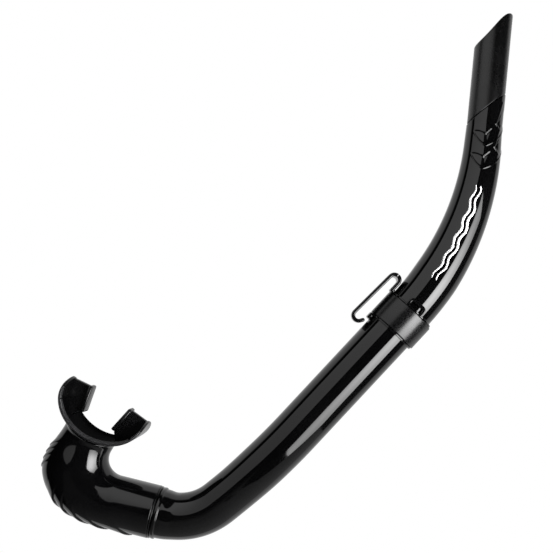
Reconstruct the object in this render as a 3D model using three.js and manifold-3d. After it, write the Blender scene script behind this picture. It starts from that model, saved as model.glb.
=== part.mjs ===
// A J-shaped snorkel: a curved breathing tube with a soft oblique tip, a swivelling silicone
// elbow with its bite mouthpiece, and a clip that slides and turns on the tube.
//
// Units are millimetres, +Z is up and +X points from the mouth to the tube. The whole airway lies
// in the XZ plane. The origin is the middle of the bite, between the two bite tabs.

import * as THREE from "three";
import { mergeVertices } from "three/addons/utils/BufferGeometryUtils.js";
import Module from "manifold-3d";

const wasm = await Module();
wasm.setup();

// ---------------------------------------------------------------- driving dimensions

const GAP = 0.3; // clearance between neighbouring pieces
const SIDES = 32; // facets round every round piece

// The airway's centreline, from the bite to the top, always turning the same way.
const MOUTH_HEADING = -121; // degrees from +X: the centreline leaves the bite down and back
const MOUTH_DEPTH = 28.8;
const ELBOW_BEND = { radius: 26.6, turn: 107 };
const ELBOW_REACH = 27.7;
const COLLAR_LENGTH = 5;
const HEEL_BEND = { radius: 39, turn: 52 };
const LOWER_CURVE = { radius: 430, turn: 9 };
const STRAIGHT_RUN = 101.2;
const UPPER_BEND = { radius: 175, turn: 37.5 };
const TOP_RUN = 91;

// Barrel tube: radii at distances from the elbow joint.
const COLLAR_RADIUS = 16;
const HEEL_RADIUS = 14.4;
const BARREL_RADIUS = 14.85;
const TOP_RADIUS = 11;
const TAPER_START = 236;
const TAPER_END = 336;
const BARREL_WALL = 2.6;
const SPIGOT_RADIUS = 12.9;
const SPIGOT_BORE = 11.3;
const SPIGOT_LENGTH = 15;
const SPIGOT_BEAD = 0.7;

// Soft tip: lapped over the barrel's end, with a slanted seam and a slanted open top.
const TIP_RADIUS = 10.9;
const AIRWAY_TOP_RADIUS = 8.8;
const LAP_RADIUS = 9.7;
const LAP_END = 373;
const SEAM_HEIGHT = 347.3; // where the seam crosses the centreline, from the elbow joint
const SEAM_SLANT = 42.2; // degrees from square
const OPEN_TOP = { high: 83, low: 61 }; // heights of its edge on the left and on the right, on the top run

// Swivel ring between the spigot and the silicone elbow.
const RING_BORE = 13.2;
const RING_RADIUS = 14.5;
const RING_LENGTH = 12.7;
const RING_LIP_RADIUS = 16.2;
const RING_LIP = 0.7;

// Silicone elbow.
const ELBOW_RADIUS = 16.4;
const ELBOW_WALL = 2.2;
const ELBOW_SOCKET = 14.8;
const NECK_FLATTEN = 0.84; // the neck's height over its width, at the mouth
const BULGE = { outward: 8, sideways: 1.8, peak: 47.3, rise: 18.5, fall: 32 };

// Bite mouthpiece: an elliptical lip flange, a short neck and two bite tabs.
const FLANGE = { halfWidth: 28.3, depth: 22.8, centre: 4, wall: 1.8, halfHeight: 14 };
const BITE_NECK = { radius: 13.6, bore: 12, end: 36.5 };
const TAB = { thickness: 3, innerTop: 14.2, innerLow: 11, length: 15.6, bead: 2.4, beadHeight: 11 };

// Clip on the tube: a glossy ring with an eyelet, a catch and a spring hook, and a matte band on it.
const CLIP_POSITION = 201.6; // from the elbow joint
const CLIP_BORE = 15.15;
const CLIP_RADIUS = 15.8;
const CLIP_RIM_RADIUS = 16.3;
const CLIP_HALF_LENGTH = 9.6;
const CLIP_RIM = 1;
const CATCH_DROP = 3.4; // how far the catch reaches below the ring
const BAND_RADIUS = 17.1;
const HOOK = { thickness: 2.4, width: 14, root: 16.8, rise: 5.8, loop: 3.3, arm: 31, curl: 3.4, tip: 1.6 };
const HOOK_SPLAY = 2.2; // degrees by which the arm spreads from the tube
const EYELET = { halfWidth: 6.2, height: 5, bar: 1.5, middle: -0.6, inner: 15.25, outer: 16.75 };

// ---------------------------------------------------------------- geometry helpers

const rad = THREE.MathUtils.degToRad;

// A plane route of straight lines and arcs. A positive turn bends to the left.
class Route {
  constructor(start, heading, pieces) {
    this.pieces = [];
    let x = start.x;
    let y = start.y;
    let angle = rad(heading);
    let begin = 0;
    for (const piece of pieces) {
      const length = piece.length ?? piece.radius * Math.abs(rad(piece.turn));
      const bend = piece.length ? 0 : Math.sign(piece.turn) / piece.radius;
      this.pieces.push({ begin, length, bend, x, y, angle });
      begin += length;
      const next = this.at(begin);
      x = next.x;
      y = next.y;
      angle = next.angle;
    }
    this.length = begin;
  }

  at(distance) {
    const found = this.pieces.findLast((p) => distance >= p.begin) ?? this.pieces[0];
    const along = distance - found.begin;
    const turned = found.angle + along * found.bend;
    if (found.bend === 0) {
      return {
        x: found.x + along * Math.cos(turned),
        y: found.y + along * Math.sin(turned),
        angle: turned,
      };
    }
    return {
      x: found.x + (Math.sin(turned) - Math.sin(found.angle)) / found.bend,
      y: found.y - (Math.cos(turned) - Math.cos(found.angle)) / found.bend,
      angle: turned,
    };
  }

  // Points along the route, moved sideways to its left by offset: the ends of each straight line,
  // and points about a step apart on each arc.
  side(offset, from, to, step) {
    const marks = new Set([from, to]);
    for (const p of this.pieces) {
      const count = p.bend === 0 ? 1 : Math.ceil(p.length / step);
      for (let i = 0; i <= count; i += 1) {
        marks.add(THREE.MathUtils.clamp(p.begin + (p.length * i) / count, from, to));
      }
    }
    return [...marks]
      .sort((a, b) => a - b)
      .map((distance) => {
        const { x, y, angle } = this.at(distance);
        return new THREE.Vector2(x - offset * Math.sin(angle), y + offset * Math.cos(angle));
      });
  }
}

const airway = new Route({ x: 0, y: 0 }, MOUTH_HEADING, [
  { length: MOUTH_DEPTH },
  ELBOW_BEND,
  { length: ELBOW_REACH },
  { length: COLLAR_LENGTH },
  HEEL_BEND,
  LOWER_CURVE,
  { length: STRAIGHT_RUN },
  UPPER_BEND,
  { length: TOP_RUN },
]);
const JOINT = airway.pieces[3].begin; // the elbow joint's distance from the bite
const TOP_BEGIN = airway.pieces[8].begin - JOINT;

// The frame on the centreline: x to the left of the route, y along it, z along the object's +Y.
function frameAt(distance) {
  const { x, y, angle } = airway.at(distance);
  const left = new THREE.Vector3(-Math.sin(angle), 0, Math.cos(angle));
  const along = new THREE.Vector3(Math.cos(angle), 0, Math.sin(angle));
  const across = new THREE.Vector3(0, 1, 0);
  return new THREE.Matrix4().makeBasis(left, along, across).setPosition(x, 0, y);
}

// A round pipe, as a closed profile of [radius, distance] points turned about the route.
function turned(profile) {
  const points = [...profile, profile[0]].map(([r, y]) => new THREE.Vector2(r, y));
  return new THREE.LatheGeometry(points, SIDES);
}

// Bends a straight pipe along the airway. reshape changes a section's x and z first.
function bendAlongAirway(geometry, start, reshape = (x, z) => [x, z]) {
  const position = geometry.attributes.position;
  const point = new THREE.Vector3();
  for (let i = 0; i < position.count; i += 1) {
    point.fromBufferAttribute(position, i);
    const distance = start + point.y;
    const [x, z] = reshape(point.x, point.z, distance);
    point.set(x, 0, z).applyMatrix4(frameAt(distance));
    position.setXYZ(i, point.x, point.y, point.z);
  }
  return geometry;
}

function solid(geometry, matrix = new THREE.Matrix4()) {
  const placed = geometry.clone().applyMatrix4(matrix);
  placed.deleteAttribute("normal");
  placed.deleteAttribute("uv");
  const merged = mergeVertices(placed, 1e-4);
  const vertProperties = new Float32Array(merged.attributes.position.array);
  const triVerts = new Uint32Array(merged.index.array);
  return new wasm.Manifold(new wasm.Mesh({ numProp: 3, vertProperties, triVerts }));
}

function geometryOf(manifold) {
  const { vertProperties, triVerts } = manifold.getMesh();
  const geometry = new THREE.BufferGeometry();
  geometry.setAttribute("position", new THREE.BufferAttribute(vertProperties, 3));
  geometry.setIndex(new THREE.BufferAttribute(triVerts, 1));
  geometry.computeVertexNormals();
  return geometry;
}

// A flat outline in the local x and y, made into a plate of the given height about z = middle.
function plate(shape, height, middle = 0) {
  const geometry = new THREE.ExtrudeGeometry(shape, {
    depth: height,
    bevelEnabled: false,
    curveSegments: 24,
  });
  return geometry.translate(0, 0, middle - height / 2);
}

function block(x0, x1, y0, y1, z0, z1) {
  const geometry = new THREE.BoxGeometry(x1 - x0, y1 - y0, z1 - z0);
  return geometry.translate((x0 + x1) / 2, (y0 + y1) / 2, (z0 + z1) / 2);
}

function piece(name, geometry, color, roughness) {
  const material = new THREE.MeshStandardMaterial({ color, roughness, metalness: 0 });
  const mesh = new THREE.Mesh(geometry, material);
  mesh.name = name;
  return mesh;
}

const smooth = (t) => (1 - Math.cos(Math.PI * THREE.MathUtils.clamp(t, 0, 1))) / 2;

// Distances from one value to another in equal steps of about the given size.
function spread(from, to, step) {
  const count = Math.max(1, Math.round(Math.abs(to - from) / step));
  return Array.from({ length: count + 1 }, (_, i) => from + ((to - from) * i) / count);
}

// ---------------------------------------------------------------- barrel tube and tip

function barrelRadius(s) {
  if (s < COLLAR_LENGTH) {
    return COLLAR_RADIUS;
  }
  const heel = smooth((s - COLLAR_LENGTH) / 3);
  const run = smooth((s - 50) / 30);
  const taper = THREE.MathUtils.clamp((s - TAPER_START) / (TAPER_END - TAPER_START), 0, 1);
  return (
    COLLAR_RADIUS +
    (HEEL_RADIUS - COLLAR_RADIUS) * heel +
    (BARREL_RADIUS - HEEL_RADIUS) * run +
    (TOP_RADIUS - BARREL_RADIUS) * taper
  );
}

function barrelBore(s) {
  const bore = THREE.MathUtils.lerp(SPIGOT_BORE, BARREL_RADIUS - BARREL_WALL, smooth(s / 30));
  const taper = THREE.MathUtils.clamp((s - TAPER_START) / (TAPER_END - TAPER_START), 0, 1);
  return THREE.MathUtils.lerp(bore, AIRWAY_TOP_RADIUS, taper);
}

const heelEnd = airway.pieces[5].begin - JOINT;
const straightBegin = airway.pieces[6].begin - JOINT;
const straightEnd = airway.pieces[7].begin - JOINT;
const barrelStations = [
  ...spread(0, COLLAR_LENGTH, 5),
  ...spread(COLLAR_LENGTH + 1.5, heelEnd, 4),
  ...spread(heelEnd, straightBegin, 17).slice(1),
  ...spread(straightBegin, straightEnd, 52).slice(1),
  ...spread(straightEnd, TOP_BEGIN, 9.5).slice(1),
  ...spread(TAPER_END, LAP_END, 36),
];

// Everything above the slanted seam, raised by lift, in the frame of the top run.
function aboveSeam(lift) {
  const half = block(-120, 120, 0, 200, -40, 40);
  half.rotateZ(rad(-SEAM_SLANT));
  return half.translate(0, SEAM_HEIGHT - TOP_BEGIN + lift, 0);
}

function topPipe(outer, bore, from, to) {
  return turned([
    [outer, from],
    [outer, to],
    [bore, to],
    [bore, from],
  ]);
}

const topFrame = frameAt(JOINT + TOP_BEGIN);

function barrelTube() {
  const outside = barrelStations.map((s) => [barrelRadius(s), s]);
  const inside = barrelStations.map((s) => [barrelBore(s), s]).reverse();
  const spigot = [
    [SPIGOT_BORE, -SPIGOT_LENGTH],
    [SPIGOT_RADIUS, -SPIGOT_LENGTH],
    [SPIGOT_RADIUS + SPIGOT_BEAD, -SPIGOT_LENGTH + 0.7],
    [SPIGOT_RADIUS, -SPIGOT_LENGTH + 1.4],
    [SPIGOT_RADIUS, 0],
  ];
  const pipe = solid(bendAlongAirway(turned([...spigot, ...outside, ...inside]), JOINT));
  const lap = topPipe(60, LAP_RADIUS, -20, 140);
  const shoulder = solid(aboveSeam(-GAP / 2), topFrame).intersect(solid(lap, topFrame));
  return geometryOf(pipe.subtract(shoulder));
}

// The region above the tip's open top: an S-shaped slant, long on the outside of the bend.
function openTop() {
  const outline = new THREE.Shape();
  outline.moveTo(-30, OPEN_TOP.high);
  outline.lineTo(-11.9, OPEN_TOP.high);
  outline.bezierCurveTo(-2, OPEN_TOP.high + 0.4, 1, OPEN_TOP.low + 7, 13.1, OPEN_TOP.low);
  outline.lineTo(30, OPEN_TOP.low);
  outline.lineTo(30, 140);
  outline.lineTo(-30, 140);
  outline.closePath();
  return plate(outline, 60);
}

function topTip() {
  const pocketEnd = LAP_END - TOP_BEGIN + 2 * GAP;
  const pipe = solid(topPipe(TIP_RADIUS, AIRWAY_TOP_RADIUS, 0, 85));
  const pocket = solid(topPipe(LAP_RADIUS + GAP, AIRWAY_TOP_RADIUS - 2, -5, pocketEnd));
  const shell = pipe.subtract(pocket).intersect(solid(aboveSeam(GAP / 2)));
  return geometryOf(shell.subtract(solid(openTop())));
}

// ---------------------------------------------------------------- elbow and swivel ring

// How far the elbow bulges at a distance from the bite, from 0 to 1.
function bulgeAt(distance) {
  const from = distance - BULGE.peak;
  return 1 - smooth(Math.abs(from) / (from < 0 ? BULGE.rise : BULGE.fall));
}

// Turns a round section into the elbow's own: full on the outside of the bend, flattened at the neck.
function elbowSection(x, z, distance) {
  const radius = Math.hypot(x, z);
  const outward = ((1 - x / radius) / 2) ** 1.5;
  const sideways = (z / radius) ** 2;
  const amount = bulgeAt(distance);
  const grown = radius + amount * (BULGE.outward * outward + BULGE.sideways * sideways);
  const flatten = THREE.MathUtils.lerp(NECK_FLATTEN, 1, smooth((distance - MOUTH_DEPTH) / 26));
  return [(x / radius) * grown, (z / radius) * grown * flatten];
}

// The inside of an ellipse the size of the flange's back, grown by offset, in the bite's frame.
function flangeEllipse(offset, height) {
  const outline = new THREE.Shape();
  const halfWidth = FLANGE.halfWidth + offset;
  outline.absellipse(0, FLANGE.centre, halfWidth, FLANGE.depth + offset, 0, 2 * Math.PI, false, 0);
  return plate(outline, height);
}

const biteFrame = frameAt(0);

function mouthpieceElbow() {
  const neckBegin = 18;
  const socketBegin = JOINT - RING_LENGTH - 2 * GAP;
  const lip = JOINT - GAP - RING_LIP - GAP;
  const rows = [...spread(neckBegin, MOUTH_DEPTH, 6), ...spread(MOUTH_DEPTH + 3.4, socketBegin, 3.8)];
  const outside = [...rows, lip].map((d) => [ELBOW_RADIUS, d]);
  const inside = rows.map((d) => [ELBOW_RADIUS - ELBOW_WALL, d]).reverse();
  const socket = [
    [ELBOW_SOCKET, lip],
    [ELBOW_SOCKET, socketBegin],
  ];
  const boot = solid(bendAlongAirway(turned([...outside, ...socket, ...inside]), 0, elbowSection));
  return geometryOf(boot.subtract(solid(flangeEllipse(GAP, 80), biteFrame)));
}

function swivelRing() {
  const end = -GAP - RING_LIP;
  return turned([
    [RING_RADIUS, -RING_LENGTH],
    [RING_RADIUS, end],
    [RING_LIP_RADIUS, end],
    [RING_LIP_RADIUS, -GAP],
    [RING_BORE, -GAP],
    [RING_BORE, -RING_LENGTH],
  ]);
}

// ---------------------------------------------------------------- bite mouthpiece

// In the bite's frame x runs between the mouth's corners and y runs into the airway.

function lipFlange() {
  const wrap = solid(flangeEllipse(0, 2 * FLANGE.halfHeight));
  const hollow = solid(flangeEllipse(-FLANGE.wall, 80));
  const wings = new THREE.Shape(); // the flange's side outline, in y and z, with rounded wings
  wings.moveTo(40, -FLANGE.halfHeight);
  wings.lineTo(40, FLANGE.halfHeight);
  wings.lineTo(14, FLANGE.halfHeight);
  wings.absellipse(14, 0, 14, FLANGE.halfHeight, Math.PI / 2, (3 * Math.PI) / 2, false, 0);
  const side = plate(wings, 80);
  const across = new THREE.Matrix4().makeBasis(
    new THREE.Vector3(0, 1, 0),
    new THREE.Vector3(0, 0, 1),
    new THREE.Vector3(1, 0, 0),
  );
  return wrap.subtract(hollow).intersect(solid(side, across));
}

// One bite tab and the bead along its inner edge. side is 1 or -1.
function biteTab(side) {
  const halfWidth = FLANGE.halfWidth - FLANGE.wall / 2;
  const depth = FLANGE.depth - FLANGE.wall / 2;
  const blade = new THREE.Shape();
  blade.moveTo(TAB.innerTop, 0.5);
  blade.lineTo(TAB.innerLow, TAB.length);
  blade.absellipse(0, FLANGE.centre, halfWidth, depth, rad(54), rad(-9), true, 0);
  blade.closePath();
  const bead = new THREE.Shape();
  bead.moveTo(TAB.innerTop - TAB.bead / 2, 0.6);
  bead.quadraticCurveTo(TAB.innerTop, -0.9, TAB.innerTop + TAB.bead / 2, 0.6);
  bead.lineTo(TAB.innerLow + TAB.bead / 2, TAB.length - 0.6);
  bead.quadraticCurveTo(TAB.innerLow, TAB.length + 0.9, TAB.innerLow - TAB.bead / 2, TAB.length - 0.6);
  bead.closePath();
  const half = solid(plate(blade, TAB.thickness)).add(solid(plate(bead, TAB.beadHeight)));
  return side > 0 ? half : half.mirror([1, 0, 0]);
}

function biteMouthpiece() {
  const neck = [
    [0, 14],
    [BITE_NECK.radius, 14],
    ...spread(18, MOUTH_DEPTH, 6).map((d) => [BITE_NECK.radius, d]),
    ...spread(MOUTH_DEPTH + 2.6, BITE_NECK.end, 2.6).map((d) => [BITE_NECK.radius, d]),
    [0, BITE_NECK.end],
  ];
  const bore = [
    ...spread(MOUTH_DEPTH, BITE_NECK.end + 2, 3).map((d) => [BITE_NECK.bore, d]),
    [0, BITE_NECK.end + 2],
    [0, 8],
    [BITE_NECK.bore, 8],
  ];
  const toBite = biteFrame.clone().invert();
  const flatten = (x, z) => [x, z * NECK_FLATTEN];
  const stem = solid(bendAlongAirway(turned(neck), 0, flatten), toBite);
  const hollow = solid(flangeEllipse(-FLANGE.wall, 80));
  const airPassage = solid(bendAlongAirway(turned(bore), 0, flatten), toBite);
  const body = lipFlange().add(stem.subtract(hollow)).subtract(airPassage);
  return geometryOf(body.add(biteTab(1)).add(biteTab(-1)));
}

// ---------------------------------------------------------------- clip

// In the clip's frame x points away from the tube towards the hook and y runs up the tube.

const hookRoute = new Route({ x: HOOK.root, y: CLIP_HALF_LENGTH }, 90, [
  { length: HOOK.rise },
  { radius: HOOK.loop, turn: HOOK_SPLAY - 180 },
  { length: HOOK.arm },
  { radius: HOOK.curl, turn: -152.2 },
  { length: HOOK.tip },
]);
const LOOP_TOP = hookRoute.pieces[1].begin + (HOOK.loop * Math.PI) / 2;
const HOOK_STEP = 0.8;

// A strip of even thickness along part of the hook's route, with a round far end if wanted.
function hookStrip(from, to, roundEnd) {
  const half = HOOK.thickness / 2;
  const outline = new THREE.Shape(hookRoute.side(half, from, to, HOOK_STEP));
  if (roundEnd) {
    const { x, y, angle } = hookRoute.at(to);
    outline.absarc(x, y, half, angle + Math.PI / 2, angle - Math.PI / 2, true);
  }
  hookRoute
    .side(-half, from, to, HOOK_STEP)
    .reverse()
    .forEach((point) => outline.lineTo(point.x, point.y));
  outline.closePath();
  return plate(outline, HOOK.width);
}

function springHook() {
  return geometryOf(solid(hookStrip(LOOP_TOP + GAP / 2, hookRoute.length, true)));
}

function eyelet() {
  const foot = CLIP_HALF_LENGTH - CLIP_RIM;
  const top = CLIP_HALF_LENGTH + EYELET.height;
  const left = EYELET.middle - EYELET.halfWidth;
  const right = EYELET.middle + EYELET.halfWidth;
  const outline = new THREE.Shape();
  outline.moveTo(left, foot);
  outline.lineTo(right, foot);
  outline.lineTo(right, top - 3);
  outline.quadraticCurveTo(right, top, right - 3, top);
  outline.lineTo(left + 3, top);
  outline.quadraticCurveTo(left, top, left, top - 3);
  outline.closePath();
  const hole = new THREE.Path();
  hole.moveTo(left + EYELET.bar, CLIP_HALF_LENGTH + 0.4);
  hole.lineTo(left + EYELET.bar, top - 3);
  hole.quadraticCurveTo(left + EYELET.bar, top - EYELET.bar, left + 3, top - EYELET.bar);
  hole.lineTo(right - 3, top - EYELET.bar);
  hole.quadraticCurveTo(right - EYELET.bar, top - EYELET.bar, right - EYELET.bar, top - 3);
  hole.lineTo(right - EYELET.bar, CLIP_HALF_LENGTH + 0.4);
  hole.closePath();
  outline.holes.push(hole);
  const middle = -(EYELET.inner + EYELET.outer) / 2;
  return plate(outline, EYELET.outer - EYELET.inner, middle);
}

// A round wall round the tube, cut down to the hook's side and width.
function hookSide(radius, low, high) {
  const inner = CLIP_BORE + GAP;
  const wall = solid(
    turned([
      [inner, low],
      [radius - 0.5, low],
      [radius, low + 0.5],
      [radius, high],
      [inner, high],
    ]),
  );
  return wall.intersect(solid(block(0, 30, low - 1, high + 1, -HOOK.width / 2, HOOK.width / 2)));
}

function clipRing() {
  const end = CLIP_HALF_LENGTH;
  const rim = end - CLIP_RIM;
  const ring = solid(
    turned([
      [CLIP_BORE, -end],
      [CLIP_RIM_RADIUS, -end],
      [CLIP_RIM_RADIUS, -rim],
      [CLIP_RADIUS, -rim],
      [CLIP_RADIUS, rim],
      [CLIP_RIM_RADIUS, rim],
      [CLIP_RIM_RADIUS, end],
      [CLIP_BORE, end],
    ]),
  );
  const root = hookSide(HOOK.root + HOOK.thickness / 2, rim, end + 1.4);
  const halfLoop = solid(hookStrip(0, LOOP_TOP - GAP / 2, false));
  const catchNub = hookSide(BAND_RADIUS, -end - CATCH_DROP, -rim);
  return geometryOf(ring.add(root).add(halfLoop).add(catchNub).add(solid(eyelet())));
}

function matteBand() {
  const end = CLIP_HALF_LENGTH - CLIP_RIM - GAP;
  const bore = CLIP_RADIUS + GAP;
  return turned([
    [bore, -end],
    [BAND_RADIUS - 0.5, -end],
    [BAND_RADIUS, -end + 0.5],
    [BAND_RADIUS, end - 0.5],
    [BAND_RADIUS - 0.5, end],
    [bore, end],
  ]);
}

// ---------------------------------------------------------------- the assembly

const GLOSS_BLACK = 0x0b0b0d;
const SATIN_BLACK = 0x1c1c1e;

function placedGroup(matrix) {
  const group = new THREE.Group();
  matrix.decompose(group.position, group.quaternion, group.scale);
  return group;
}

const snorkel = new THREE.Group();
snorkel.add(piece("barrel_tube", barrelTube(), GLOSS_BLACK, 0.12));
snorkel.add(piece("mouthpiece_elbow", mouthpieceElbow(), GLOSS_BLACK, 0.25));

const top = placedGroup(topFrame);
top.add(piece("top_tip", topTip(), SATIN_BLACK, 0.6));
snorkel.add(top);

const joint = placedGroup(frameAt(JOINT));
joint.add(piece("swivel_ring", swivelRing(), GLOSS_BLACK, 0.3));
snorkel.add(joint);

const bite = placedGroup(biteFrame);
bite.add(piece("bite_mouthpiece", biteMouthpiece(), SATIN_BLACK, 0.45));
snorkel.add(bite);

const clip = placedGroup(frameAt(JOINT + CLIP_POSITION));
clip.add(piece("clip_ring", clipRing(), GLOSS_BLACK, 0.2));
clip.add(piece("clip_hook", springHook(), GLOSS_BLACK, 0.2));
clip.add(piece("keeper_band", matteBand(), SATIN_BLACK, 0.5));
snorkel.add(clip);

export default snorkel;
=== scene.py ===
# The looks of the snorkel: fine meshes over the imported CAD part, its finishes, light and camera.
# Lengths are in millimetres until a mesh is made, and the object's frame is the CAD part's own.
import math

import bmesh
import bpy
import numpy as np
from mathutils import Matrix, Vector


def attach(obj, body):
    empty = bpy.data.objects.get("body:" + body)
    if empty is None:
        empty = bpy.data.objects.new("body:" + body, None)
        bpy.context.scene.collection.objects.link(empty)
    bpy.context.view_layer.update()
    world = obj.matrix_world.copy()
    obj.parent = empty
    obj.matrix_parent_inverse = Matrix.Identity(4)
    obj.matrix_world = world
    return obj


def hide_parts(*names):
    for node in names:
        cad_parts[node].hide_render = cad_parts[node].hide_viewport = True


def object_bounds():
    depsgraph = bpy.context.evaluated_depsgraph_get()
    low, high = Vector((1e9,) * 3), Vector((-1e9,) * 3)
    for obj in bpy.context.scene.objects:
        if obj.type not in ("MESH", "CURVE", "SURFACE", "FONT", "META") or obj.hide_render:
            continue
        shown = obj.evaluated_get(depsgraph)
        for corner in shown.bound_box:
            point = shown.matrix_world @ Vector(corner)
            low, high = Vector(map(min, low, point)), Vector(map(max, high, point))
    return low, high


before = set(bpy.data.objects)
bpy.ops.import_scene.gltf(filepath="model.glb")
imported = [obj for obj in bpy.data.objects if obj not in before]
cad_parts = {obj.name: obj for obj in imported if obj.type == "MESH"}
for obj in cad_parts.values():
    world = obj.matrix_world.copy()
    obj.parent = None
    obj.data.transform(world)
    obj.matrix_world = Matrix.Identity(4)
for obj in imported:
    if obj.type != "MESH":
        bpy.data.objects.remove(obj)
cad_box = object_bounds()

MM = 0.001

# ---------------------------------------------------------------- driving dimensions

# The airway's centreline from the bite to the top: (length, turn in degrees) or (radius, turn).
MOUTH_HEADING = -121
MOUTH_DEPTH = 28.8
ELBOW_BEND = (26.6, 107)
ELBOW_REACH = 27.7
COLLAR_LENGTH = 5
HEEL_BEND = (39, 52)
LOWER_CURVE = (430, 9)
STRAIGHT_RUN = 101.2
UPPER_BEND = (175, 37.5)
TOP_RUN = 91

COLLAR_RADIUS = 16
HEEL_RADIUS = 14.4
BARREL_RADIUS = 14.85
TOP_RADIUS = 11.15
TAPER_START = 236
TAPER_END = 336
WALL = 2.6
SPIGOT_RADIUS = 12.9
SPIGOT_BORE = 11.3
SPIGOT_LENGTH = 15

TIP_RADIUS = 10.9
AIRWAY_TOP_RADIUS = 8.8
LAP_RADIUS = 9.7
LAP_END = 373
SEAM_HEIGHT = 347.3
SEAM_SLANT = math.radians(42.2)
SEAM_GAP = 0.6
TIP_CUT = [(-11.9, 83), (-2, 83.4), (1, 68), (13.1, 61)]

CHEVRON_PITCH = 14.2
CHEVRON_DEPTH = 0.5
CHEVRON_TURN = 9  # how far round the tube, in degrees, and along it the pattern is moved in front
CHEVRON_LIFT = 2.9
SIDE_RIDGES = [((-36, 15.5), (-57, 28.5)), ((-36, 15), (-54, 11))]  # (angle, along) ends

RING_BORE = 13.2
RING_RADIUS = 14.5
RING_LENGTH = 12.7
RING_LIP_RADIUS = 16.2
ELBOW_RADIUS = 16.4
ELBOW_SOCKET = 14.8
ELBOW_WALL = 2.2
NECK_FLATTEN = 0.84
BULGE_OUTWARD = 8
BULGE_PEAK = 47.3
BULGE_RISE = 18.5
BULGE_FALL = 32
NECK_FLAT_END = 46  # from here the neck's section grows back to round
NECK_ROUND_OVER = 36
SMALL_SCALES = [38.2, 40.7, 43.1, 45.7]  # tips on the outside of the bend, from the bite
LARGE_SCALES = [61.2, 66.3, 72.5, 79.9, 94.7]

FLANGE_HALF_WIDTH = 28.3
FLANGE_DEPTH = 22.8
FLANGE_CENTRE = 4
FLANGE_WALL = 1.8
FLANGE_HALF_HEIGHT = 14
STEM_RADIUS = 13.6
STEM_BORE = 12
STEM_BEGIN = 25  # where it is buried in the flange
STEM_END = 36.5
TAB_TOP = 14.3
TAB_LOW = 11
TAB_LENGTH = 15.6
TAB_HALF = 1.5
BEAD_WIDTH = 2.4
BEAD_HALF = 5.5

CLIP_POSITION = 201.6
CLIP_BORE = 15.15
CLIP_RADIUS = 15.8
CLIP_RIM_RADIUS = 16.3
CLIP_HALF = 9.6
CLIP_RIM = 1
CATCH_DROP = 3.4
BAND_RADIUS = 17.1
HOOK_THICKNESS = 2.4
HOOK_HALF_WIDTH = 7
HOOK_ROOT = 16.8
HOOK_RISE = 5.8
HOOK_LOOP = 3.3
HOOK_ARM = 31
HOOK_CURL = 3.4
HOOK_TIP = 1.6
HOOK_SPLAY = 2.2
EYELET_HALF = 6.2
EYELET_HEIGHT = 5
EYELET_BAR = 2
EYELET_MIDDLE = -0.6
EYELET_INNER = 15.25
EYELET_OUTER = 16.75

PRINT_START = 233
PRINT_END = 297
PRINT_WAVES = 5

# ---------------------------------------------------------------- the airway's route


class Route:
    """Straight lines and arcs in a plane. Each piece is a length, or a radius and a turn."""

    def __init__(self, x, y, heading, pieces):
        rows = []
        begin = 0.0
        angle = math.radians(heading)
        for piece in pieces:
            if isinstance(piece, tuple):
                length = piece[0] * abs(math.radians(piece[1]))
                bend = math.copysign(1 / piece[0], piece[1])
            else:
                length = piece
                bend = 0.0
            rows.append((begin, x, y, angle, bend))
            self.begin, self.x, self.y, self.angle, self.bend = np.array(rows).T
            begin += length
            x, y, angle = (float(v) for v in self.at(begin))
        self.length = begin

    def at(self, distance):
        distance = np.asarray(distance, float)
        i = np.clip(np.searchsorted(self.begin, distance, side="right") - 1, 0, len(self.begin) - 1)
        along = distance - self.begin[i]
        start = self.angle[i]
        bend = self.bend[i]
        turned = start + along * bend
        curved = np.where(bend == 0, 1.0, bend)
        x = np.where(bend == 0, along * np.cos(turned), (np.sin(turned) - np.sin(start)) / curved)
        y = np.where(bend == 0, along * np.sin(turned), (np.cos(start) - np.cos(turned)) / curved)
        return self.x[i] + x, self.y[i] + y, turned


airway = Route(
    0,
    0,
    MOUTH_HEADING,
    [
        MOUTH_DEPTH,
        ELBOW_BEND,
        ELBOW_REACH,
        COLLAR_LENGTH,
        HEEL_BEND,
        LOWER_CURVE,
        STRAIGHT_RUN,
        UPPER_BEND,
        TOP_RUN,
    ],
)
JOINT = airway.begin[3]
TOP_BEGIN = airway.begin[8] - JOINT


def bent(left, across, distance):
    """Points beside the airway: left of it in its plane, and across towards the object's +Y."""
    x, z, angle = airway.at(distance)
    return np.stack(
        np.broadcast_arrays(x - left * np.sin(angle), across, z + left * np.cos(angle)), axis=-1
    )


def placed(local, distance):
    """Points of a straight frame on the airway, whose axes are left, along and across."""
    x, z, angle = (float(v) for v in airway.at(distance))
    left, along, across = np.moveaxis(np.asarray(local, float), -1, 0)
    return np.stack(
        [
            x - left * math.sin(angle) + along * math.cos(angle),
            across,
            z + left * math.cos(angle) + along * math.sin(angle),
        ],
        axis=-1,
    )


def smooth(t):
    return (1 - np.cos(np.pi * np.clip(t, 0, 1))) / 2


def step_at(value, edge, width):
    """0 below an edge and 1 above it, smooth over the width."""
    return smooth((value - edge) / width + 0.5)


# ---------------------------------------------------------------- meshes


def quads(rows, columns, wrap_rows, wrap_columns):
    row, column = np.meshgrid(
        np.arange(rows if wrap_rows else rows - 1),
        np.arange(columns if wrap_columns else columns - 1),
        indexing="ij",
    )
    below = (row + 1) % rows
    beside = (column + 1) % columns
    corners = [
        row * columns + column,
        row * columns + beside,
        below * columns + beside,
        below * columns + column,
    ]
    return np.stack(corners, axis=-1).reshape(-1, 4).tolist()


def ring_shell(points):
    """A closed skin from points[row, column] that joins round both ways."""
    rows, columns = points.shape[:2]
    return points.reshape(-1, 3), quads(rows, columns, True, True)


def capped_shell(points):
    """A skin from points[row, column], round in its columns, with a flat cap on each end."""
    rows, columns = points.shape[:2]
    faces = quads(rows, columns, False, True)
    faces.append(list(range(columns)))
    faces.append(list(range((rows - 1) * columns, rows * columns)))
    return points.reshape(-1, 3), faces


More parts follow.
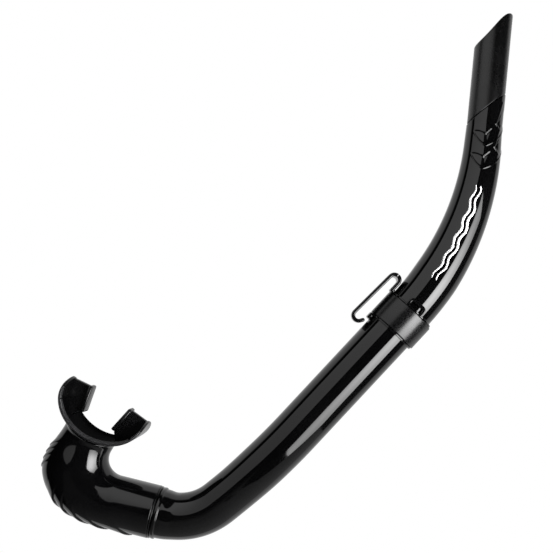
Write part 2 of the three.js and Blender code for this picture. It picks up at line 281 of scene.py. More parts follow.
def make(name, parts, material, body, replaces=None):
    """One mesh object from closed skins in millimetres, riding on a body of the CAD part."""
    vertices = []
    faces = []
    for points, polygons in parts:
        start = len(vertices)
        vertices.extend((points * MM).tolist())
        faces.extend([[start + i for i in polygon] for polygon in polygons])
    data = bpy.data.meshes.new(name)
    data.from_pydata(vertices, [], faces)
    skin = bmesh.new()
    skin.from_mesh(data)
    bmesh.ops.recalc_face_normals(skin, faces=skin.faces)
    skin.to_mesh(data)
    skin.free()
    data.shade_smooth()
    data.materials.append(material)
    made = bpy.data.objects.new(name, data)
    bpy.context.scene.collection.objects.link(made)
    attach(made, body)
    if replaces:
        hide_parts(replaces)
    return made


def rounded(corners, radius=0.3, steps=4):
    """A closed outline with each corner rounded. A corner is (x, y) or (x, y, its own radius)."""
    count = len(corners)
    points = []
    for i in range(count):
        here = np.array(corners[i][:2], float)
        before = np.array(corners[i - 1][:2], float) - here
        after = np.array(corners[(i + 1) % count][:2], float) - here
        size = corners[i][2] if len(corners[i]) > 2 else radius
        reach = min(size, 0.45 * np.hypot(*before), 0.45 * np.hypot(*after))
        first = here + before / np.hypot(*before) * reach
        last = here + after / np.hypot(*after) * reach
        for t in np.linspace(0, 1, steps + 1):
            points.append((1 - t) ** 2 * first + 2 * t * (1 - t) * here + t**2 * last)
    return np.array(points)


def denser(outline, step):
    """The same closed outline with points no further apart than the step."""
    points = []
    for here, there in zip(outline, np.roll(outline, -1, axis=0)):
        count = max(1, math.ceil(np.hypot(*(there - here)) / step))
        for i in range(count):
            points.append(here + (there - here) * i / count)
    return np.array(points)


def around(columns):
    return np.arange(columns) * 2 * np.pi / columns


def spun_straight(profile, distance, columns=160):
    """A round pipe in the straight frame on the airway at a distance."""
    outline = rounded(profile)
    turn = around(columns)
    radius = outline[:, :1]
    local = np.stack(
        np.broadcast_arrays(radius * np.sin(turn), outline[:, 1:2], -radius * np.cos(turn)), axis=-1
    )
    return ring_shell(placed(local, distance))


def slab(outline, low, high, radius, place, steps=5):
    """A plate with rounded edges from an anticlockwise outline, between two heights."""
    edge = outline - np.roll(outline, 1, axis=0)
    normal = np.stack([edge[:, 1], -edge[:, 0]], axis=-1)
    normal = normal / np.linalg.norm(normal, axis=-1, keepdims=True)
    normal = normal + np.roll(normal, -1, axis=0)
    normal = normal / np.linalg.norm(normal, axis=-1, keepdims=True)
    insets = []
    for t in np.linspace(0, np.pi / 2, steps + 1):
        insets.append((radius * (1 - math.sin(t)), low + radius * (1 - math.cos(t))))
    for t in np.linspace(np.pi / 2, 0, steps + 1):
        insets.append((radius * (1 - math.sin(t)), high - radius * (1 - math.cos(t))))
    insets.insert(0, (radius * 1.5, low))
    insets.append((radius * 1.5, high))
    rows = []
    for inset, height in insets:
        flat = outline - normal * inset
        rows.append(np.column_stack([flat, np.full(len(flat), height)]))
    return capped_shell(place(np.array(rows)))


# ---------------------------------------------------------------- finishes


def finish(name, base, roughness, bump, grain, wear, ior=1.5):
    """A moulded black finish: fine texture, uneven gloss, and faint rubbed marks.

    roughness is its least and greatest value, bump the texture's depth and grain its size in mm.
    """
    material = bpy.data.materials.new(name)
    material.use_nodes = True
    nodes = material.node_tree.nodes
    links = material.node_tree.links
    shader = nodes["Principled BSDF"]
    shader.inputs["IOR"].default_value = ior
    where = nodes.new("ShaderNodeTexCoord")

    def noise(scale, detail, stretch=(1, 1, 1)):
        spread_out = nodes.new("ShaderNodeMapping")
        spread_out.inputs["Scale"].default_value = stretch
        links.new(where.outputs["Object"], spread_out.inputs["Vector"])
        texture = nodes.new("ShaderNodeTexNoise")
        texture.inputs["Scale"].default_value = scale
        texture.inputs["Detail"].default_value = detail
        links.new(spread_out.outputs["Vector"], texture.inputs["Vector"])
        return texture.outputs["Fac"]

    def ramp(source, low, high, first, last):
        mapped = nodes.new("ShaderNodeMapRange")
        mapped.inputs["From Min"].default_value = low
        mapped.inputs["From Max"].default_value = high
        mapped.inputs["To Min"].default_value = first
        mapped.inputs["To Max"].default_value = last
        links.new(source, mapped.inputs["Value"])
        return mapped.outputs["Result"]

    cloud = noise(28, 3)
    colour = nodes.new("ShaderNodeMix")
    colour.data_type = "RGBA"
    colour.inputs["A"].default_value = (*base, 1)
    colour.inputs["B"].default_value = (*[c * 1.6 + 0.0006 for c in base], 1)
    links.new(ramp(cloud, 0.35, 0.7, 0, 1), colour.inputs["Factor"])
    links.new(colour.outputs["Result"], shader.inputs["Base Color"])

    scratches = noise(900, 2, (1, 0.06, 0.35))
    rub = ramp(scratches, 0.66, 0.8, 0, wear)
    gloss = nodes.new("ShaderNodeMath")
    gloss.operation = "ADD"
    links.new(ramp(noise(75, 4), 0.3, 0.75, roughness[0], roughness[1]), gloss.inputs[0])
    links.new(rub, gloss.inputs[1])
    links.new(gloss.outputs["Value"], shader.inputs["Roughness"])

    texture = nodes.new("ShaderNodeBump")
    texture.inputs["Strength"].default_value = 1.0
    texture.inputs["Distance"].default_value = bump * MM
    links.new(noise(1000 / grain, 3), texture.inputs["Height"])
    links.new(texture.outputs["Normal"], shader.inputs["Normal"])
    return material


BARREL_GLOSS = finish("barrel_gloss", (0.0014, 0.0014, 0.0015), (0.03, 0.055), 0.0015, 2.5, 0.03)
TIP_MATTE = finish("tip_matte", (0.0015, 0.0015, 0.0016), (0.24, 0.3), 0.1, 0.6, 0.05)
ELBOW_SILICONE = finish("elbow_silicone", (0.0018, 0.0018, 0.002), (0.06, 0.1), 0.002, 1.6, 0.04)
RING_PLASTIC = finish("ring_plastic", (0.003, 0.003, 0.0032), (0.12, 0.2), 0.002, 1.2, 0.05)
BITE_SILICONE = finish("bite_silicone", (0.003, 0.003, 0.0032), (0.2, 0.27), 0.004, 0.6, 0.05, 1.42)
# A darker copy of the bite silicone that hardly reflects, for the flange's inner face: painted shade.
BITE_INSIDE_PAINTED_SHADE = finish("bite_inside_painted_shade", (0.002, 0.002, 0.0022), (0.5, 0.6), 0.01, 0.6, 0.05, 1.02)
# A lighter grey copy of the bite silicone for the flange's rim: painted light on its lit edge.
BITE_RIM_PAINTED_LIGHT = finish("bite_rim_painted_light", (0.016, 0.016, 0.017), (0.4, 0.5), 0.004, 0.6, 0.05, 1.42)
CLIP_GLOSS = finish("clip_gloss", (0.0025, 0.0025, 0.0027), (0.05, 0.09), 0.0015, 1.5, 0.04)
BAND_MATTE = finish("band_matte", (0.002, 0.002, 0.0022), (0.25, 0.29), 0.004, 0.5, 0.04)
MARK_WHITE = finish("mark_white", (0.8, 0.8, 0.8), (0.35, 0.5), 0.002, 0.4, 0.0)

# ---------------------------------------------------------------- barrel tube


def barrel_radius(s):
    """The barrel's outer radius at a distance from the elbow joint."""
    heel = 0.5 * smooth((s - 2.2) / 0.7) + 0.5 * smooth((s - 3) / 10)
    run = smooth((s - 50) / 30)
    taper = np.clip((s - TAPER_START) / (TAPER_END - TAPER_START), 0, 1)
    return (
        COLLAR_RADIUS
        + (HEEL_RADIUS - COLLAR_RADIUS) * heel
        + (BARREL_RADIUS - HEEL_RADIUS) * run
        + (TOP_RADIUS - BARREL_RADIUS) * taper
    )


def seam_along(left):
    """How far along the top run the seam lies, for a point left of the centreline."""
    return SEAM_HEIGHT - TOP_BEGIN - left * math.tan(SEAM_SLANT)


def chevron_relief(face_angle, along):
    """How deep the moulded chevrons are. The angle is from the tube's front, in degrees."""
    frontal = np.cos(np.radians(face_angle))
    face_angle = face_angle - CHEVRON_TURN * frontal
    along = along + CHEVRON_LIFT * frontal
    outer = -6.3 - face_angle
    inner = face_angle + 6.3
    upper = np.where(outer > 0, 9.0 + 0.218 * outer, 9.0 + 1.6 * np.sin(np.pi * inner / 58))
    out = np.maximum(-8.7 - face_angle, 0)
    back = np.maximum(face_angle + 8.7, 0)
    lower = 1.64 + 0.11 * out + 0.0006 * out**2 + 0.07 * back + 0.00226 * back**2
    step = np.where(outer > 0, 0.45, 1.2)
    streak = 0.3 + 1.3 * np.clip(1 - outer / 34, 0, 1)
    height = np.zeros(np.broadcast(face_angle, along).shape)
    for shift in (0, -CHEVRON_PITCH):
        room = upper - lower
        fade = np.clip(room / 2.5, 0, 1)
        level = along - shift
        below = 1 - smooth((level - upper + step) / step)
        inside = step_at(level, lower, 0.6) * below
        facet = np.maximum(0.8 - 0.19 * (level - 8.3), 0.12)
        turn_line = upper - step - streak
        deepest = np.maximum(0.8 - 0.19 * (turn_line - 8.3), 0.12)
        part = np.clip((level - lower) / np.maximum(turn_line - lower, 0.1), 0, 1)
        outer_floor = np.where(level > turn_line, facet, 0.15 + (deepest - 0.15) * part)
        inner_part = np.clip((level - lower) / np.maximum(room, 0.1), 0, 1)
        inner_floor = CHEVRON_DEPTH * (0.3 + 0.7 * inner_part)
        share = smooth((outer + 3) / 6)
        floor = outer_floor * share + inner_floor * (1 - share)
        height -= fade * inside * floor
        crest = np.exp(-(((along - lower - shift + 0.45) / 0.4) ** 2))
        height += fade * crest * 0.2
        for start, end in SIDE_RIDGES:
            ends = [np.array([a * TOP_RADIUS * math.pi / 180, b + shift]) for a, b in (start, end)]
            line = ends[1] - ends[0]
            across = face_angle * TOP_RADIUS * math.pi / 180 - ends[0][0]
            up = along - ends[0][1]
            share = np.clip((across * line[0] + up * line[1]) / (line @ line), 0, 1)
            away = np.hypot(across - share * line[0], up - share * line[1])
            height += 0.22 * np.exp(-((away / 0.45) ** 2))
    return height


def barrel_tube():
    columns = 240
    turn = around(columns)
    side = np.sin(turn)
    front = np.cos(turn)
    rows = []

    def row(radius, s):
        rows.append(bent(radius * side, -radius * front, JOINT + s))

    def corner(radius_from, s_from, radius_to, s_to, radius_end, s_end, steps=5):
        for t in np.linspace(0, 1, steps + 1):
            a, b, c = (1 - t) ** 2, 2 * t * (1 - t), t**2
            row(a * radius_from + b * radius_to + c * radius_end, a * s_from + b * s_to + c * s_end)

    edge = 0.45
    corner(SPIGOT_BORE, -SPIGOT_LENGTH + 0.5, SPIGOT_BORE, -SPIGOT_LENGTH, 12.1, -SPIGOT_LENGTH)
    corner(12.4, -SPIGOT_LENGTH, 13.6, -SPIGOT_LENGTH + 0.5, SPIGOT_RADIUS, -SPIGOT_LENGTH + 1.6)
    row(SPIGOT_RADIUS, -8)
    row(SPIGOT_RADIUS, -0.4)
    row(SPIGOT_RADIUS, 0)
    corner(COLLAR_RADIUS - 1.2, 0, COLLAR_RADIUS, 0, COLLAR_RADIUS, 1.2)
    for s in np.arange(1.6, 6, 0.3):
        row(barrel_radius(s), s)
    for s in np.arange(6, 60, 0.8):
        row(barrel_radius(s), s)
    for s in np.arange(60, 300, 3.0):
        row(barrel_radius(s), s)
    face = np.degrees(np.arctan2(side, np.abs(front)))
    seam = TOP_BEGIN + seam_along(TOP_RADIUS * side) - SEAM_GAP / 2
    for t in np.linspace(0, 1, 221)[:-1]:
        s = 300 + (seam - edge - 300) * t
        row(barrel_radius(s) + chevron_relief(face, s - TOP_BEGIN), s)
    corner(TOP_RADIUS, seam - edge, TOP_RADIUS, seam, TOP_RADIUS - edge, seam)
    under = TOP_BEGIN + seam_along(LAP_RADIUS * side) - SEAM_GAP / 2
    row(LAP_RADIUS + 0.3, under)
    row(LAP_RADIUS, under + 0.3)
    row(LAP_RADIUS, LAP_END - 0.4)
    row(LAP_RADIUS - 0.3, LAP_END)
    row(AIRWAY_TOP_RADIUS + 0.2, LAP_END)
    row(AIRWAY_TOP_RADIUS, LAP_END - 0.3)
    for s in np.arange(TAPER_END, TAPER_START, -6.0):
        part = (s - TAPER_START) / (TAPER_END - TAPER_START)
        row(BARREL_RADIUS - WALL + (AIRWAY_TOP_RADIUS - BARREL_RADIUS + WALL) * part, s)
    for s in np.arange(TAPER_START, 0, -6.0):
        row(SPIGOT_BORE + (BARREL_RADIUS - WALL - SPIGOT_BORE) * smooth(s / 30), s)
    return ring_shell(np.array(rows))


make(
    "barrel",
    [barrel_tube()],
    BARREL_GLOSS,
    "tube",
    replaces="barrel_tube",
)

# ---------------------------------------------------------------- soft tip


def cut_along(left):
    """How far along the top run the open top's slanted edge lies."""
    t = np.linspace(0, 1, 200)[:, None]
    a, b, c, d = (np.array(p) for p in TIP_CUT)
    curve = (1 - t) ** 3 * a + 3 * t * (1 - t) ** 2 * b + 3 * t**2 * (1 - t) * c + t**3 * d
    return np.interp(left, curve[:, 0], curve[:, 1])


def top_tip():
    columns = 200
    turn = around(columns)
    side = np.sin(turn)
    front = np.cos(turn)
    rows = []

    def row(radius, along):
        local = np.broadcast_arrays(radius * side, along, -radius * front)
        rows.append(placed(np.stack(local, axis=-1), JOINT + TOP_BEGIN))

    edge = 0.4
    pocket = LAP_RADIUS + 0.3
    pocket_end = LAP_END - TOP_BEGIN + 0.6
    low = seam_along(TIP_RADIUS * side) + SEAM_GAP / 2
    high = cut_along(TIP_RADIUS * side)
    row(pocket, seam_along(pocket * side) + SEAM_GAP / 2)
    for t in np.linspace(0, np.pi / 2, 5):
        row(TIP_RADIUS - edge * (1 - math.sin(t)), low + edge * (1 - math.cos(t)))
    for t in np.linspace(0, 1, 50)[1:]:
        row(TIP_RADIUS, low + edge + (high - 0.9 - low - edge) * t)
    middle = (TIP_RADIUS + AIRWAY_TOP_RADIUS) / 2
    half = (TIP_RADIUS - AIRWAY_TOP_RADIUS) / 2
    for t in np.linspace(0, np.pi, 13)[1:-1]:
        radius = middle + half * math.cos(t)
        row(radius, cut_along(radius * side) - 0.9 * (1 - math.sin(t)))
    top = cut_along(AIRWAY_TOP_RADIUS * side) - 0.9
    for t in np.linspace(0, 1, 12):
        row(AIRWAY_TOP_RADIUS, top + (pocket_end - top) * t)
    row(pocket, pocket_end)
    row(pocket, pocket_end - 0.4)
    return ring_shell(np.array(rows))


make("soft_tip", [top_tip()], TIP_MATTE, "tube", replaces="top_tip")

# ---------------------------------------------------------------- elbow


def elbow_section(turn, distance, grow):
    """The elbow's section: full on the outside of its bend and flattened at the neck."""
    side = np.sin(turn)
    front = np.cos(turn)
    from_peak = distance - BULGE_PEAK
    reach = np.where(from_peak < 0, BULGE_RISE, BULGE_FALL)
    amount = 1 - smooth(np.abs(from_peak) / reach)
    outward = ((1 - side) / 2) ** 1.5
    radius = ELBOW_RADIUS + grow + amount * BULGE_OUTWARD * outward
    back_to_round = smooth((distance - NECK_FLAT_END) / NECK_ROUND_OVER)
    flatten = NECK_FLATTEN + (1 - NECK_FLATTEN) * back_to_round
    return radius * side, -radius * front * flatten


def scale_relief(turn, distance):
    """Overlapping scales on the outside of the bend, each with its tip towards the tube."""
    from_outside = np.abs(np.degrees(np.arctan2(np.cos(turn), -np.sin(turn))))
    from_outside = np.where(from_outside > 90, 180 - from_outside, from_outside)
    on_outside = np.sin(turn) < 0
    height = np.zeros(np.broadcast(turn, distance).shape)
    for tips, rise, reach, sweep in (
        (SMALL_SCALES, 0.8, 50, 0.1),
        (LARGE_SCALES, 1.2, 66, 0.17),
    ):
        begin = tips[0] - (tips[1] - tips[0])
        for tip, before in zip(tips, [begin, *tips[:-1]]):
            edge = tip - sweep * from_outside
            start = before - sweep * from_outside
            ramp = np.clip((distance - start) / (edge - start), 0, 1) ** 1.2
            inside = step_at(distance, start, 0.3) * (1 - step_at(distance, edge, 0.45))
            fade = 1 - smooth((from_outside - reach * 0.3) / (reach * 0.7))
            height += np.where(on_outside, rise * ramp * inside * fade, 0)
    return height


def mouthpiece_elbow():
    columns = 240
    turn = around(columns)
    side = np.sin(turn)
    flange_side = np.clip(ELBOW_RADIUS * side / (FLANGE_HALF_WIDTH + 0.3), -1, 1)
    begin = FLANGE_CENTRE + (FLANGE_DEPTH + 0.3) * np.sqrt(1 - flange_side**2)
    lip = JOINT - 1.3
    socket = JOINT - RING_LENGTH - 0.6
    rows = []

    def row(distance, grow):
        left, across = elbow_section(turn, distance, grow)
        rows.append(bent(left, across, distance))

    def plain(distance, radius):
        rows.append(bent(radius * side, -radius * np.cos(turn), distance))

    for t in np.linspace(0, 1, 9)[:-1]:
        distance = begin + (30 - begin) * t
        row(distance, 1.3 * np.clip(1 - (distance - begin) / 2.6, 0, 1) ** 2)
    for distance in np.arange(30, 97, 0.27):
        row(distance, scale_relief(turn, distance))
    for distance in np.arange(97, lip - 0.5, 0.8):
        row(distance, 0)
    for t in np.linspace(0, np.pi / 2, 6):
        row(lip - 0.5 * (1 - math.sin(t)), -0.5 * (1 - math.cos(t)))
    plain(lip, ELBOW_SOCKET + 0.3)
    plain(lip - 0.3, ELBOW_SOCKET)
    plain(socket, ELBOW_SOCKET)
    for distance in np.arange(socket, 32, -2.0):
        row(distance, -ELBOW_WALL)
    inner_side = np.clip((ELBOW_RADIUS - ELBOW_WALL) * side / (FLANGE_HALF_WIDTH + 0.3), -1, 1)
    row(FLANGE_CENTRE + (FLANGE_DEPTH + 0.3) * np.sqrt(1 - inner_side**2), -ELBOW_WALL)
    return ring_shell(np.array(rows))


make(
    "elbow",
    [mouthpiece_elbow()],
    ELBOW_SILICONE,
    "mouthpiece",
    replaces="mouthpiece_elbow",
)

make(
    "joint_ring",
    [
        spun_straight(
            [
                (RING_BORE, -RING_LENGTH),
                (RING_RADIUS, -RING_LENGTH),
                (RING_RADIUS, -1),
                (RING_LIP_RADIUS, -1),
                (RING_LIP_RADIUS, -0.3),
                (RING_BORE, -0.3),
            ],
            JOINT,
        )
    ],
    RING_PLASTIC,
    "mouthpiece",
    replaces="swivel_ring",
)

# ---------------------------------------------------------------- bite mouthpiece


def in_bite(local):
    return placed(local, 0)


def flange_point(angle, offset):
    x = (FLANGE_HALF_WIDTH + offset) * np.cos(angle)
    return x, FLANGE_CENTRE + (FLANGE_DEPTH + offset) * np.sin(angle)


def lip_flange():
    """The curved flange: round wings at both ends, and a rolled rim that is thicker below."""
    end = math.asin(-FLANGE_CENTRE / FLANGE_DEPTH) + 0.004
    half_span = math.pi / 2 - end
    angle = math.pi / 2 - half_span * np.cos(np.linspace(0, np.pi, 121))
    y_out = flange_point(angle, 0)[1]
    wing = np.clip((FLANGE_HALF_HEIGHT - y_out) / FLANGE_HALF_HEIGHT, 0, 1)
    half = np.maximum(FLANGE_HALF_HEIGHT * np.sqrt(1 - wing**2), 0.3)
    roll = 1.5 * smooth((half - 3) / 9) * smooth((angle - 0.1) / 1.1) * smooth((math.pi - angle) / 0.7)
    loop = []
    for part in np.linspace(-1, 1, 25):
        loop.append((-1, part))
    for part in np.linspace(1, -1, 25):
        loop.append((0, part))
    points = []
    for wall, part in loop:
        rim = np.exp(-(((abs(part) - 1) * half / 2.6) ** 4))
        edge = np.sqrt(np.clip(1 - ((abs(part) * half - half + 1.1) / 1.1).clip(0, 1) ** 2, 0, 1))
        thick = (FLANGE_WALL + roll * rim) / 2
        middle = -FLANGE_WALL / 2 - roll * rim * 0.5
        offset = middle + (1 if wall == 0 else -1) * thick * (0.04 + 0.96 * edge)
        x, y = flange_point(angle, offset)
        points.append(np.stack([x, y, part * half], axis=-1))
    return capped_shell(in_bite(np.swapaxes(np.array(points), 0, 1)))


def stem():
    """The stem behind the flange, which goes into the elbow's neck."""
    columns = 96
    turn = around(columns)
    rows = []
    for radius, distance in [
        (STEM_BORE, STEM_BEGIN),
        (STEM_RADIUS, STEM_BEGIN),
        (STEM_RADIUS, 29),
        (STEM_RADIUS, 33),
        (STEM_RADIUS, STEM_END - 0.4),
        (STEM_RADIUS - 0.4, STEM_END),
        (STEM_BORE, STEM_END),
        (STEM_BORE, 33),
        (STEM_BORE, 29),
    ]:
        along = distance
        if distance == STEM_BEGIN:
            reach = radius * np.sin(turn) / (FLANGE_HALF_WIDTH - 0.9)
            along = FLANGE_CENTRE + (FLANGE_DEPTH - 0.9) * np.sqrt(1 - reach**2)
        rows.append(bent(radius * np.sin(turn), -radius * np.cos(turn) * NECK_FLATTEN, along))
    return ring_shell(np.array(rows))


def anticlockwise(outline):
    ahead = np.roll(outline, -1, axis=0)
    area = np.sum(outline[:, 0] * ahead[:, 1] - ahead[:, 0] * outline[:, 1])
    return outline if area > 0 else outline[::-1]


def tab_outline(side):
    """One bite tab's blade, whose outer edge is buried in the flange."""
    arc = np.radians(np.linspace(-9, 54, 24))
    buried = np.column_stack(flange_point(arc, -FLANGE_WALL / 2))
    inner_corners = [(TAB_LOW, TAB_LENGTH, 2.2), (TAB_TOP, -0.6, 1.6)]
    steps = 6
    whole = rounded([*inner_corners, (*buried[0], 0.3), (*buried[-1], 0.3)], steps=steps)
    inner = whole[: len(inner_corners) * (steps + 1)]
    return anticlockwise(np.concatenate([inner, buried]) * [side, 1])


def bead_outline(side):
    """The raised bead along a tab's inner edge, seen along its height."""
    low = np.array([TAB_LOW, TAB_LENGTH + 0.1])
    top = np.array([TAB_TOP, -1.2])
    along = (top - low) / np.hypot(*(top - low))
    across = np.array([along[1], -along[0]]) * BEAD_WIDTH / 2
    corners = [low - across, low + across, top + across, top - across]
    return anticlockwise(rounded([(*c, 1.1) for c in corners], steps=6) * [side, 1])


def in_bite_tapered(local):
    """The bite's frame, with the beads' height drawn in towards both of their ends."""
    middle = (TAB_LENGTH - 1.1) / 2
    away = np.abs(local[..., 1] - middle) - (middle + 1.4 - 3.2)
    share = 1 - 0.5 * np.clip(away / 3.6, 0, 1) ** 2.2
    return placed(local * np.stack([np.ones_like(share), np.ones_like(share), share], axis=-1), 0)


bite_parts = [lip_flange(), stem()]
for bite_side in (1, -1):
    bite_parts.append(slab(tab_outline(bite_side), -TAB_HALF, TAB_HALF, 0.6, in_bite))
    bead = bead_outline(bite_side)
    bite_parts.append(slab(bead, -BEAD_HALF, BEAD_HALF, 0.9, in_bite_tapered))
bite_piece = make(
    "bite_piece",
    bite_parts,
    BITE_SILICONE,
    "mouthpiece",
    replaces="bite_mouthpiece",
)
bite_piece.data.materials.append(BITE_INSIDE_PAINTED_SHADE)
bite_piece.data.materials.append(BITE_RIM_PAINTED_LIGHT)
_, _, mouth_angle = (float(v) for v in airway.at(0))
for polygon in bite_piece.data.polygons:
    x, y, z = (v / MM for v in polygon.center)
    left = -x * math.sin(mouth_angle) + z * math.cos(mouth_angle)
    along = x * math.cos(mouth_angle) + z * math.sin(mouth_angle) - FLANGE_CENTRE
    inside = math.hypot(left / (FLANGE_HALF_WIDTH - 1.5), along / (FLANGE_DEPTH - 1.5)) < 1
    # Faces inside the flange's curve take the darker copy of the silicone: painted shade.
    if inside and along > 8 and abs(y) < FLANGE_HALF_HEIGHT - 0.6:
        polygon.material_index = 1
    # Faces on the flange's rim take the lighter copy of the silicone: painted light.
    elif abs(y) > FLANGE_HALF_HEIGHT - 3 and along > -5:
        polygon.material_index = 2

# ---------------------------------------------------------------- clip

hook_route = Route(
    HOOK_ROOT,
    CLIP_HALF,
    90,
    [HOOK_RISE, (HOOK_LOOP, HOOK_SPLAY - 180), HOOK_ARM, (HOOK_CURL, -152.2), HOOK_TIP],
)
LOOP_TOP = hook_route.begin[1] + HOOK_LOOP * math.pi / 2


def in_clip(local):
    return placed(local, JOINT + CLIP_POSITION)


def hook_strip(start, end, round_end):
    """A strip with rounded edges along part of the hook's route."""
    half = HOOK_THICKNESS / 2
    section = rounded(
        [
            (-half, -HOOK_HALF_WIDTH),
            (half, -HOOK_HALF_WIDTH),
            (half, HOOK_HALF_WIDTH),
            (-half, HOOK_HALF_WIDTH),
        ],
        radius=1.15,
        steps=8,
    )
    section = denser(section, 1.0)
    marks = [(d, 1.0) for d in np.linspace(start, end, 90)]
    if round_end:
        for t in np.linspace(0, np.pi / 2, 7)[1:]:
            marks.append((end + half * math.sin(t) * 0.999, max(math.cos(t), 0.04)))
    rows = []
    for distance, share in marks:
        x, y, angle = (float(v) for v in hook_route.at(distance))
        width = section[:, 0] * share
        depth = section[:, 1] * (share * 0.35 + 0.65)
        rows.append(np.column_stack([x - width * math.sin(angle), y + width * math.cos(angle), depth]))
    return capped_shell(in_clip(np.array(rows)))


def clip_ring():
    rim = CLIP_HALF - CLIP_RIM
    ring = spun_straight(
        [
            (CLIP_BORE, -CLIP_HALF),
            (CLIP_RIM_RADIUS, -CLIP_HALF),
            (CLIP_RIM_RADIUS, -rim),
            (CLIP_RADIUS, -rim),
            (CLIP_RADIUS, rim),
            (CLIP_RIM_RADIUS, rim),
            (CLIP_RIM_RADIUS, CLIP_HALF),
            (CLIP_BORE, CLIP_HALF),
        ],
        JOINT + CLIP_POSITION,
    )
    return [
        ring,
        side_wall(HOOK_ROOT + HOOK_THICKNESS / 2, rim, CLIP_HALF + 1.4),
        side_wall(BAND_RADIUS + 0.3, -CLIP_HALF - CATCH_DROP, -rim),
        hook_strip(0, LOOP_TOP - 0.15, False),
        eyelet(),
    ]


def side_wall(radius, low, high):
    """A round wall on the hook's side of the ring, as wide as the hook, with rounded edges."""
    outline = denser(
        rounded(
            [
                (CLIP_BORE + 0.3, low),
                (radius, low, 1),
                (radius, high, 1),
                (CLIP_BORE + 0.3, high),
            ],
            radius=0.3,
            steps=6,
        ),
        1.5,
    )
    middle = outline.mean(axis=0)
    widest = math.asin(HOOK_HALF_WIDTH / radius)
    rows = []
    for t in np.linspace(-np.pi / 2, np.pi / 2, 41):
        angle = widest * math.sin(t)
        section = middle + (outline - middle) * (1 - 0.12 * abs(math.sin(t)) ** 12)
        radial = section[:, 0]
        rows.append(
            np.column_stack([radial * math.cos(angle), section[:, 1], radial * math.sin(angle)])
        )
    return capped_shell(in_clip(np.array(rows)))


def eyelet():
    """The small loop that stands on the ring's front: a flat bar bent round an opening."""
    left = EYELET_MIDDLE - EYELET_HALF + EYELET_BAR / 2
    right = EYELET_MIDDLE + EYELET_HALF - EYELET_BAR / 2
    low = CLIP_HALF - CLIP_RIM
    high = CLIP_HALF + EYELET_HEIGHT - EYELET_BAR / 2
    corners = [(left, low, 0.1), (left, high, 2.6), (right, high, 2.6), (right, low, 0.1)]
    path = rounded(corners, steps=10)
    middle = (EYELET_INNER + EYELET_OUTER) / 2
    depth = (EYELET_OUTER - EYELET_INNER) / 2
    turn = around(20)
    path = path[5:-5]
    rows = []
    for i, here in enumerate(path):
        ahead = path[min(i + 1, len(path) - 1)] - path[max(i - 1, 0)]
        ahead = ahead / np.hypot(*ahead)
        bar = EYELET_BAR / 2 * np.sign(np.cos(turn)) * np.abs(np.cos(turn)) ** 0.6
        thick = depth * np.sign(np.sin(turn)) * np.abs(np.sin(turn)) ** 0.6
        rows.append(
            np.column_stack([here[0] - bar * ahead[1], here[1] + bar * ahead[0], thick - middle])
        )
    return capped_shell(in_clip(np.array(rows)))


make("clip", clip_ring(), CLIP_GLOSS, "clip", replaces="clip_ring")
make(
    "spring_hook",
    [hook_strip(LOOP_TOP + 0.15, hook_route.length, True)],
    CLIP_GLOSS,
    "hook",
    replaces="clip_hook",
)

band_end = CLIP_HALF - CLIP_RIM - 0.3
make(
    "band",
    [
        spun_straight(
            [
                (CLIP_RADIUS + 0.3, -band_end),
                (BAND_RADIUS, -band_end, 0.6),
                (BAND_RADIUS, band_end, 0.6),
                (CLIP_RADIUS + 0.3, band_end),
            ],
            JOINT + CLIP_POSITION,
        )
    ],
    BAND_MATTE,
    "band",
    replaces="keeper_band",
)

# ---------------------------------------------------------------- the printed mark


def print_stroke(run, centre, half_width, place_on):
    """A thin raised stroke on the barrel: centre and half_width are offsets along the run."""
    rows = []
    for s, middle, half in zip(run, centre, half_width):
        radius = barrel_radius(s)
        row = []
        for height, part in [(0.03, -1), (0.03, 0), (0.03, 1), (0.1, 1), (0.1, 0), (0.1, -1)]:
            angle = (middle + part * half + place_on(s)) / radius
            level = radius + height
            row.append(bent(level * np.sin(angle), -level * np.cos(angle), JOINT + s))
        rows.append(row)
    return capped_shell(np.array(rows))


def mark_centre(s):
    return 1.6 - 1.1 * (s - PRINT_START) / (PRINT_END - PRINT_START)


mark_run = np.linspace(PRINT_START, PRINT_END, 140)
mark_share = (mark_run - PRINT_START) / (PRINT_END - PRINT_START)
mark_parts = []
mark_half_width = 0.2 + 0.6 * np.sin(np.pi * mark_share) ** 0.4
for level in (1.5, -1.5):
    wave = level + 0.75 * np.sin(mark_share * 2 * np.pi * PRINT_WAVES)
    mark_parts.append(print_stroke(mark_run, wave, mark_half_width, mark_centre))
make("printed_mark", mark_parts, MARK_WHITE, "tube")

# ---------------------------------------------------------------- light, floor and camera


def axes(across, up):
    across = Vector(across).normalized()
    facing = across.cross(Vector(up)).normalized()
    return across, facing.cross(across), facing


def panel(name, corners, across, up, centre, brightness):
    """A flat glowing panel, out of the camera's sight. Its corners are measured across and up.

    brightness links nodes to the glow's strength, from the distances across and up in metres.
    """
    side, height, facing = axes(across, up)
    data = bpy.data.meshes.new(name)
    data.from_pydata([(a * MM, b * MM, 0) for a, b in corners], [], [list(range(len(corners)))])
    made = bpy.data.objects.new(name, data)
    turn = Matrix((side, height, facing)).transposed().to_4x4()
    made.matrix_world = Matrix.Translation(Vector(centre) * MM) @ turn
    bpy.context.scene.collection.objects.link(made)
    glowing = bpy.data.materials.new(name)
    glowing.use_nodes = True
    tree = glowing.node_tree
    tree.nodes.remove(tree.nodes["Principled BSDF"])
    glow = tree.nodes.new("ShaderNodeEmission")
    tree.links.new(glow.outputs["Emission"], tree.nodes["Material Output"].inputs["Surface"])
    place = tree.nodes.new("ShaderNodeTexCoord")
    split = tree.nodes.new("ShaderNodeSeparateXYZ")
    tree.links.new(place.outputs["Object"], split.inputs["Vector"])
    brightness(tree, split.outputs["X"], split.outputs["Y"], glow.inputs["Strength"])
    data.materials.append(glowing)
    made.visible_camera = False
    return made


